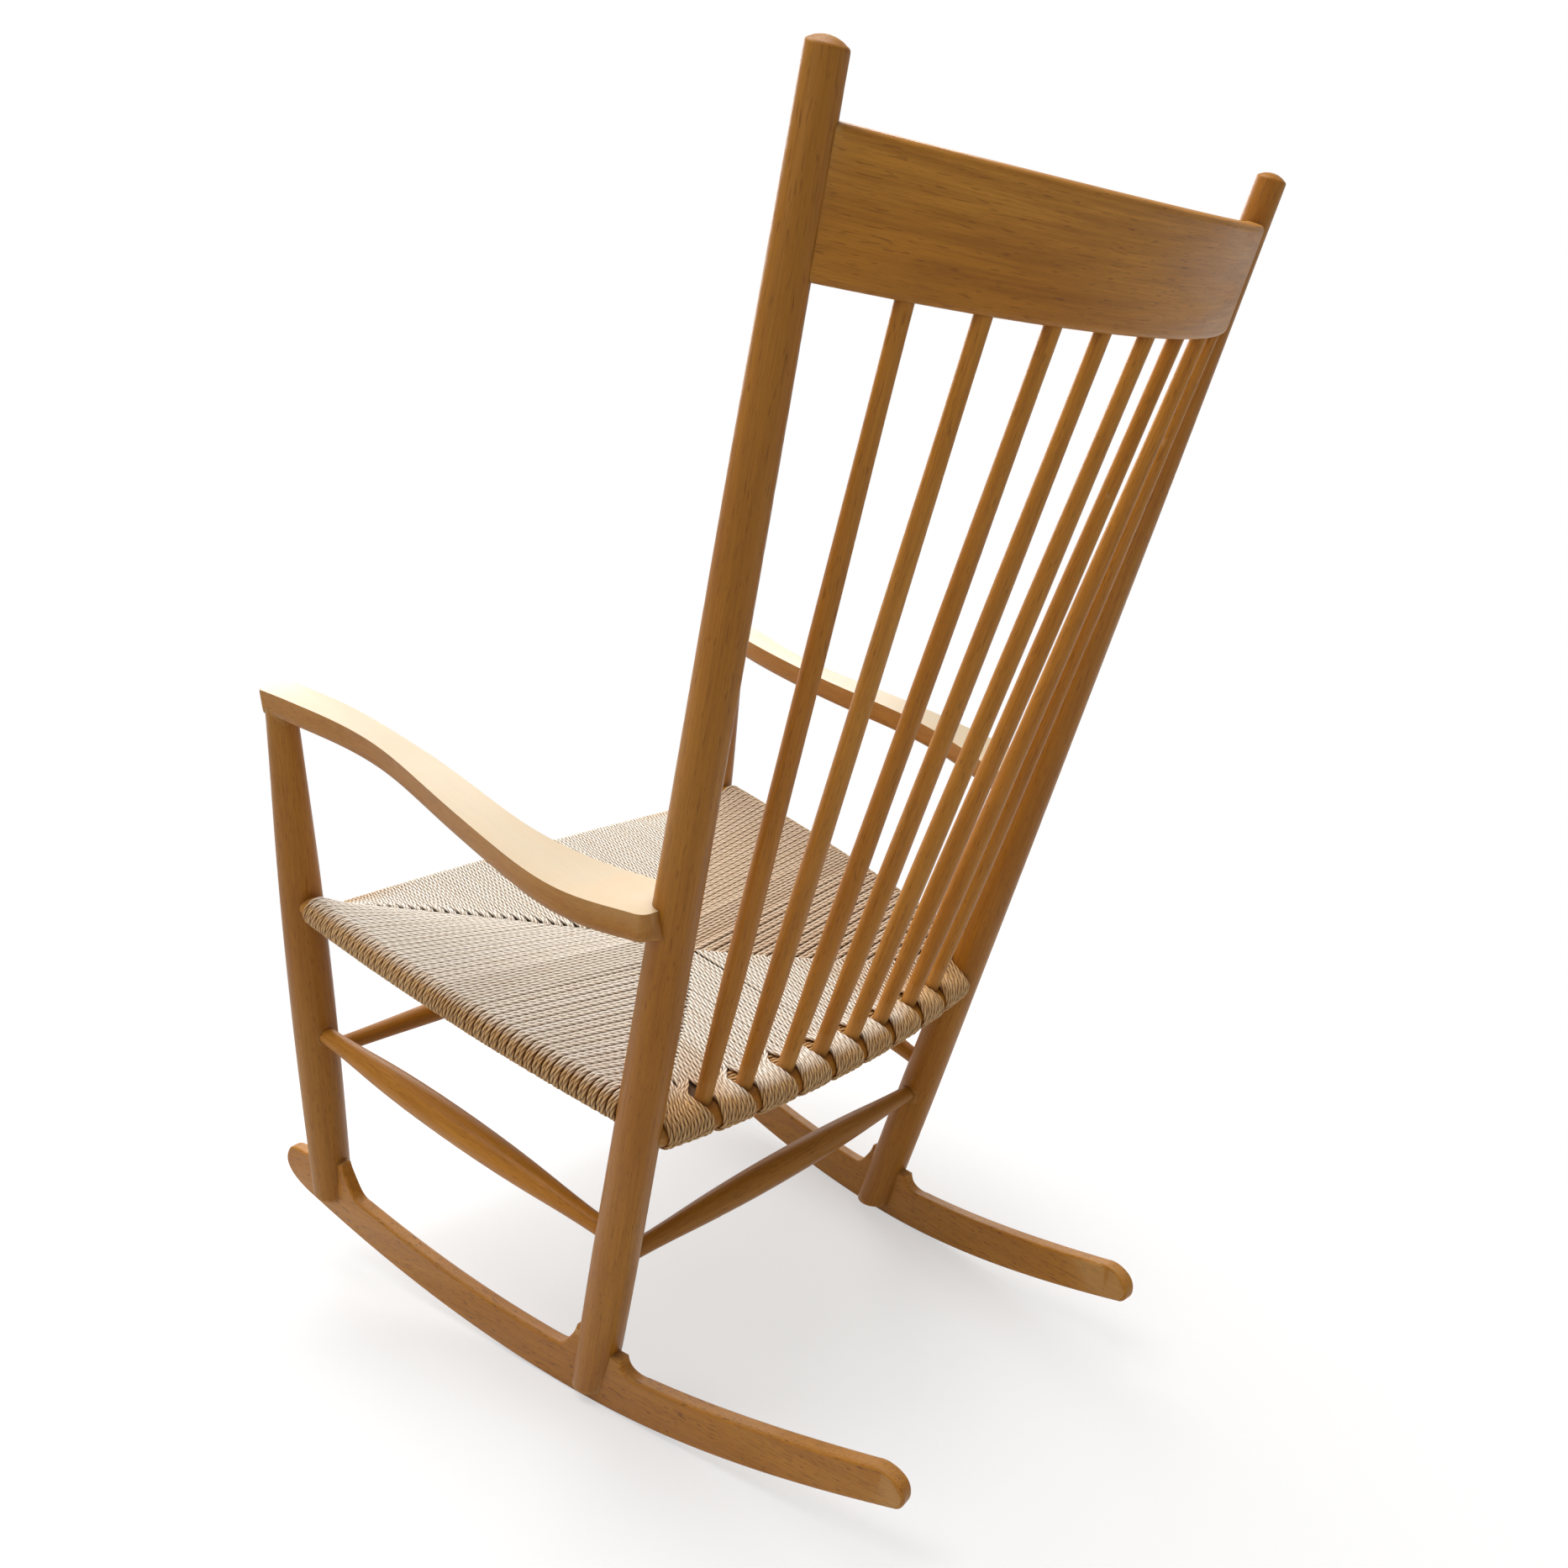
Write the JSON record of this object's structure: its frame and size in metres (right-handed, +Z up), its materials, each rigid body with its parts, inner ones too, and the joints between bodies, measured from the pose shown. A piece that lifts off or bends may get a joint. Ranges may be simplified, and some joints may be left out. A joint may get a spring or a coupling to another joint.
{
  "type": "rocking chair",
  "caption": "Tall-backed wooden rocking chair with a woven paper-cord seat, shaped arms, turned posts and spindles, and bridled rockers.",
  "frame": {"origin": "on the floor, in the middle of the chair's width and length", "axes": "+X is the sitter's left, -Y is the front, +Z is up"},
  "size_m": [0.5876, 0.932, 1.0749],
  "materials": {
    "frame_wood": "satin lacquer",
    "rocker_wood": "satin lacquer",
    "dowel_wood": "bare",
    "cord": "waxed three-ply paper cord"
  },
  "bodies": {
    "root": {"rocker_left": "rocker_wood", "rocker_right": "rocker_wood", "rear_post_left": "frame_wood", "rear_post_right": "frame_wood", "front_post_left": "frame_wood", "front_post_right": "frame_wood", "arm_left": "frame_wood", "arm_right": "frame_wood", "arm_dowel_left": "dowel_wood", "arm_dowel_right": "dowel_wood", "crest_rail": "frame_wood", "spindle_1": "frame_wood", "spindle_2": "frame_wood", "spindle_3": "frame_wood", "spindle_4": "frame_wood", "spindle_5": "frame_wood", "spindle_6": "frame_wood", "spindle_7": "frame_wood", "spindle_8": "frame_wood", "seat_rail_left": "frame_wood", "seat_rail_right": "frame_wood", "seat_rail_front": "frame_wood", "seat_rail_rear": "frame_wood", "stretcher_left": "frame_wood", "stretcher_right": "frame_wood", "stretcher_front": "frame_wood", "stretcher_rear": "frame_wood", "seat_cord": "cord"}
  },
  "joints": []
}
